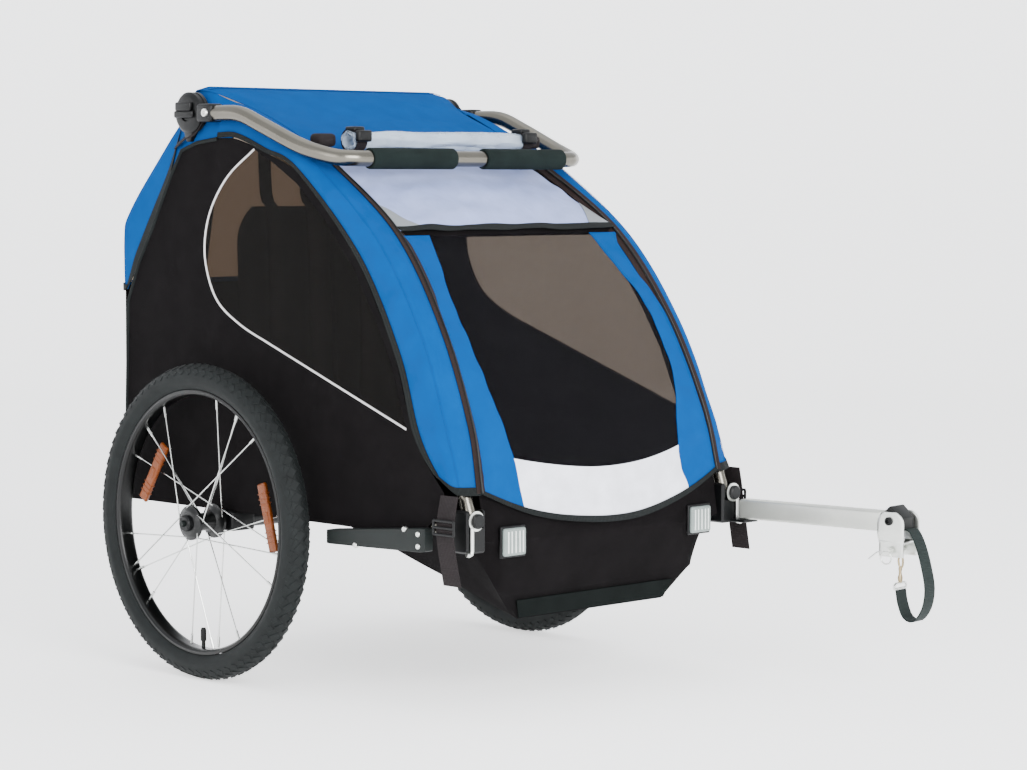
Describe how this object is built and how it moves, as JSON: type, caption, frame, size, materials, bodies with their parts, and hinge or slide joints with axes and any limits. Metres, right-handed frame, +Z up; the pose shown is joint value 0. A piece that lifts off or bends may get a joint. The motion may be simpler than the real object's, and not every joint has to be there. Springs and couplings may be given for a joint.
{
  "type": "child bicycle trailer",
  "caption": "Covered two-wheel trailer that a bicycle tows, with a fabric cabin and bench for children, a side tow arm with a hitch, and a folding handlebar.",
  "frame": {"origin": "on the ground, at the middle of the bounding box from above", "axes": "+Z up, -Y the way it is towed, +X to its own left, the side that the tow arm is on"},
  "size_m": [0.789, 1.2065, 0.9342],
  "materials": {
    "blue_cloth": "plain-woven coated polyester",
    "black_cloth": "plain-woven coated polyester",
    "white_cloth": "coated polyester",
    "webbing": "woven nylon webbing",
    "clear_sheet": "clear soft vinyl, rolled",
    "aluminium": "satin",
    "bright_steel": "zinc-plated",
    "black_plastic": "moulded, satin",
    "grip_foam": "foam rubber",
    "rubber": "moulded urethane",
    "tyre": "rubber tread",
    "black_rim": "black anodised",
    "stainless": "drawn spokes on a black hub",
    "amber_lens": "moulded prismatic lens",
    "clear_lens": "moulded prismatic lens"
  },
  "bodies": {
    "chassis": {"side_rail_right": "aluminium", "side_rail_left": "aluminium", "front_cross_tube": "aluminium", "rear_cross_tube": "aluminium", "axle_beam": "black_plastic", "wheel_guard_right": "black_plastic", "wheel_guard_left": "black_plastic", "corner_bracket_right": "black_plastic", "corner_bracket_left": "black_plastic", "tow_receiver": "black_plastic", "floor_tub": "black_cloth", "scuff_guard": "rubber", "front_reflector_right": "clear_lens", "front_reflector_left": "clear_lens", "seat_base": "black_cloth", "corner_strap_right": "webbing", "corner_strap_left": "webbing", "axle_pin_right": "black_plastic", "axle_pin_left": "black_plastic"},
    "seat_back_frame": {"rear_upright": "aluminium", "seat_back": "black_cloth"},
    "canopy": {"side_hoop_right": "aluminium", "side_hoop_left": "aluminium", "hub_housing_right": "black_plastic", "hub_housing_left": "black_plastic", "roof_cover": "blue_cloth", "hoop_sleeve_right": "blue_cloth", "hoop_sleeve_left": "blue_cloth", "side_panel_right": "black_cloth", "side_panel_left": "black_cloth", "rear_panel": "black_cloth", "brow_flap": "white_cloth", "rolled_shield": "clear_sheet"},
    "front_cover": {"front_cover": "black_cloth"},
    "handlebar": {"handlebar_tube": "aluminium", "grip_right": "grip_foam", "grip_left": "grip_foam", "handlebar_clamp_right": "black_plastic", "handlebar_clamp_left": "black_plastic"},
    "tow_arm": {"tow_bar": "aluminium", "flex_block": "rubber"},
    "hitch_yoke": {"hitch_yoke": "bright_steel"},
    "hitch_pin": {"hitch_pin": "bright_steel"},
    "safety_strap": {"safety_strap": "webbing", "strap_ring": "bright_steel", "snap_hook": "bright_steel"},
    "wheel_right": {"tyre_right": "tyre", "rim_right": "black_rim", "spoked_hub_right": "stainless", "wheel_reflector_upper_right": "amber_lens", "wheel_reflector_front_right": "amber_lens"},
    "release_button_right": {"release_button_right": "black_plastic"},
    "hub_lever_right": {"hub_lever_right": "black_plastic"},
    "wheel_left": {"tyre_left": "tyre", "rim_left": "black_rim", "spoked_hub_left": "stainless", "wheel_reflector_upper_left": "amber_lens", "wheel_reflector_front_left": "amber_lens"},
    "release_button_left": {"release_button_left": "black_plastic"},
    "hub_lever_left": {"hub_lever_left": "black_plastic"}
  },
  "joints": [
    {"name": "wheel_spin_right", "type": "hinge", "parent": "chassis", "child": "wheel_right", "pos_m": [-0.3515, 0.3025, 0.248], "axis": [1, 0, 0], "continuous": true},
    {"name": "release_button_press_right", "type": "slide", "parent": "chassis", "child": "release_button_right", "axis": [1, 0, 0], "range_m": [0, 0.004], "stiffness_N_per_m": 500},
    {"name": "hub_lever_turn_right", "type": "hinge", "parent": "canopy", "child": "hub_lever_right", "pos_m": [-0.293, 0.4175, 0.89], "axis": [1, 0, 0], "range_deg": [0, 60]},
    {"name": "wheel_spin_left", "type": "hinge", "parent": "chassis", "child": "wheel_left", "pos_m": [0.3515, 0.3025, 0.248], "axis": [1, 0, 0], "continuous": true},
    {"name": "release_button_press_left", "type": "slide", "parent": "chassis", "child": "release_button_left", "axis": [-1, 0, 0], "range_m": [0, 0.004], "stiffness_N_per_m": 500},
    {"name": "hub_lever_turn_left", "type": "hinge", "parent": "canopy", "child": "hub_lever_left", "pos_m": [0.293, 0.4175, 0.89], "axis": [1, 0, 0], "range_deg": [0, 60]},
    {"name": "canopy_fold", "type": "hinge", "parent": "chassis", "child": "canopy", "pos_m": [0, -0.2295, 0.29], "axis": [-1, 0, 0], "range_deg": [0, 38], "deforming": ["roof_cover", "hoop_sleeve_right", "hoop_sleeve_left", "side_panel_right", "side_panel_left", "rear_panel", "brow_flap", "rolled_shield", "front_cover"]},
    {"name": "seat_back_fold", "type": "hinge", "parent": "chassis", "child": "seat_back_frame", "pos_m": [0, 0.5425, 0.292], "axis": [1, 0, 0], "range_deg": [0, 76], "deforming": ["seat_back"]},
    {"name": "handlebar_flip", "type": "hinge", "parent": "canopy", "child": "handlebar", "pos_m": [0, 0.4175, 0.89], "axis": [-1, 0, 0], "range_deg": [0, 165]},
    {"name": "front_cover_lift", "type": "hinge", "parent": "canopy", "child": "front_cover", "pos_m": [0, -0.031, 0.7005], "axis": [-1, 0, 0], "range_deg": [0, 100]},
    {"name": "tow_arm_swing", "type": "hinge", "parent": "chassis", "child": "tow_arm", "pos_m": [0.292, -0.2595, 0.264], "axis": [0, 0, 1], "range_deg": [0, 80]},
    {"name": "hitch_flex", "type": "hinge", "parent": "tow_arm", "child": "hitch_yoke", "pos_m": [0.32316, -0.54178, 0.267], "axis": [0.994, 0.1097, 0], "range_deg": [-20, 20], "stiffness_Nm_per_rad": 30},
    {"name": "hitch_pin_pull", "type": "slide", "parent": "hitch_yoke", "child": "hitch_pin", "axis": [0.994, 0.1097, 0], "range_m": [0, 0.06]},
    {"name": "safety_strap_swing", "type": "hinge", "parent": "hitch_yoke", "child": "safety_strap", "pos_m": [0.32541, -0.56216, 0.255], "axis": [0.994, 0.1097, 0], "range_deg": [-40, 30]}
  ],
  "couplings": [
    {"joint": "seat_back_fold", "follows": "canopy_fold", "ratio": 2}
  ]
}
